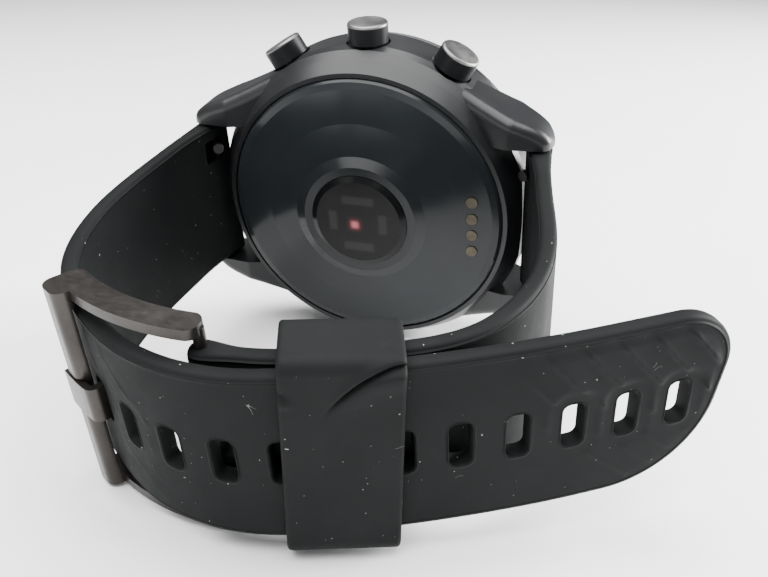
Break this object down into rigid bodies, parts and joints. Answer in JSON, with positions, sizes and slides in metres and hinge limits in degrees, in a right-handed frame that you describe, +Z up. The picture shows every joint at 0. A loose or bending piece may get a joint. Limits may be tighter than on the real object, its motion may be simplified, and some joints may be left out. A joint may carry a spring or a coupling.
{
  "type": "gps running watch",
  "caption": "Round GPS running watch with push buttons and a soft strap buckled into a loop, lying on its side.",
  "frame": {"origin": "centre of the bounding box's bottom face, on the surface that the watch lies on", "axes": "+X along the tail of the strap towards 12 o'clock, +Y away from the buckle, out of the display, +Z up"},
  "size_m": [0.0752, 0.069, 0.0485],
  "materials": {
    "case_polymer": "fibre-reinforced polymer, satin dark grey",
    "bezel_steel": "dark coated metal, satin",
    "cover_glass": "dark polished glass",
    "seal_rubber": "soft black",
    "display": "black, glossy",
    "flex_print": "amber film",
    "back_polymer": "smooth near-black",
    "sensor_window": "dark tinted, glossy",
    "gold_contact": "dull gold plating",
    "board": "green solder mask",
    "chip": "black moulding",
    "frame_polymer": "dark grey moulding",
    "plain_steel": "bright",
    "aerial_ceramic": "pale ceramic",
    "battery_foil": "foil pouch",
    "button_metal": "bead-blasted grey",
    "silicone": "matte black silicone",
    "bar_steel": "satin",
    "gunmetal": "dark brown-grey, satin to glossy"
  },
  "bodies": {
    "case": {"mid_case": "case_polymer", "bezel_ring": "bezel_steel", "cover_glass": "cover_glass", "glass_gasket": "seal_rubber", "display_panel": "display", "display_flex": "flex_print", "back_cover": "back_polymer", "back_cover_seal": "seal_rubber", "sensor_window": "sensor_window", "charging_contacts": "gold_contact", "sensor_board": "board", "sensor_photodiode": "chip", "sensor_leds": "chip", "inner_frame": "frame_polymer", "main_board": "board", "frame_screws": "plain_steel", "shield_can": "plain_steel", "processor": "chip", "gps_aerial": "aerial_ceramic", "battery": "battery_foil", "vibration_motor": "plain_steel", "button_switches": "plain_steel", "button_seals": "seal_rubber"},
    "button_upper": {"button_upper": "button_metal", "button_upper_clip": "plain_steel"},
    "button_middle": {"button_middle": "button_metal", "button_middle_clip": "plain_steel"},
    "button_lower": {"button_lower": "button_metal", "button_lower_clip": "plain_steel"},
    "hole_strap": {"strap_hole_side": "silicone", "six_oclock_bar_tube": "bar_steel", "six_oclock_bar_fixed_pin": "bar_steel"},
    "buckle_strap": {"strap_buckle_side": "silicone", "twelve_oclock_bar_tube": "bar_steel", "twelve_oclock_bar_fixed_pin": "bar_steel"},
    "six_oclock_release": {"six_oclock_bar_release": "bar_steel"},
    "twelve_oclock_release": {"twelve_oclock_bar_release": "bar_steel"},
    "buckle": {"buckle_frame": "gunmetal", "buckle_pin": "gunmetal"},
    "tongue": {"buckle_tongue": "gunmetal"},
    "keeper": {"strap_keeper": "silicone"}
  },
  "joints": [
    {"name": "button_upper_press", "type": "slide", "parent": "case", "child": "button_upper", "axis": [-0.5, 0.1578, -0.8515], "range_m": [0, 0.0005], "stiffness_N_per_m": 900},
    {"name": "button_middle_press", "type": "slide", "parent": "case", "child": "button_middle", "axis": [0, 0.1822, -0.9833], "range_m": [0, 0.0005], "stiffness_N_per_m": 900},
    {"name": "button_lower_press", "type": "slide", "parent": "case", "child": "button_lower", "axis": [0.5, 0.1578, -0.8515], "range_m": [0, 0.0005], "stiffness_N_per_m": 900},
    {"name": "six_oclock_strap_swing", "type": "hinge", "parent": "case", "child": "hole_strap", "pos_m": [-0.03441, 0.0211, 0.02247], "axis": [0, -0.1822, 0.9833], "range_deg": [-0.4, 0.4]},
    {"name": "twelve_oclock_strap_swing", "type": "hinge", "parent": "case", "child": "buckle_strap", "pos_m": [0.01339, 0.0211, 0.02247], "axis": [0, -0.1822, 0.9833], "range_deg": [-0.4, 0.4]},
    {"name": "six_oclock_release_slide", "type": "slide", "parent": "hole_strap", "child": "six_oclock_release", "axis": [0, 0.1822, -0.9833], "range_m": [0, 0.0014], "stiffness_N_per_m": 300},
    {"name": "twelve_oclock_release_slide", "type": "slide", "parent": "buckle_strap", "child": "twelve_oclock_release", "axis": [0, 0.1822, -0.9833], "range_m": [0, 0.0014], "stiffness_N_per_m": 300},
    {"name": "buckle_swing", "type": "hinge", "parent": "buckle_strap", "child": "buckle", "pos_m": [-0.01111, -0.02797, 0.01338], "axis": [0, -0.1822, 0.9833], "range_deg": [0, 1.5]},
    {"name": "tongue_swing", "type": "hinge", "parent": "buckle", "child": "tongue", "pos_m": [-0.01111, -0.02797, 0.01338], "axis": [0, -0.1822, 0.9833], "range_deg": [0, 1.5]},
    {"name": "keeper_slide", "type": "slide", "parent": "buckle_strap", "child": "keeper", "axis": [0.9397, 0.3363, 0.0623], "range_m": [-0.0012, 0.002]}
  ],
  "couplings": [
    {"joint": "twelve_oclock_strap_swing", "follows": "six_oclock_strap_swing", "ratio": 1}
  ]
}
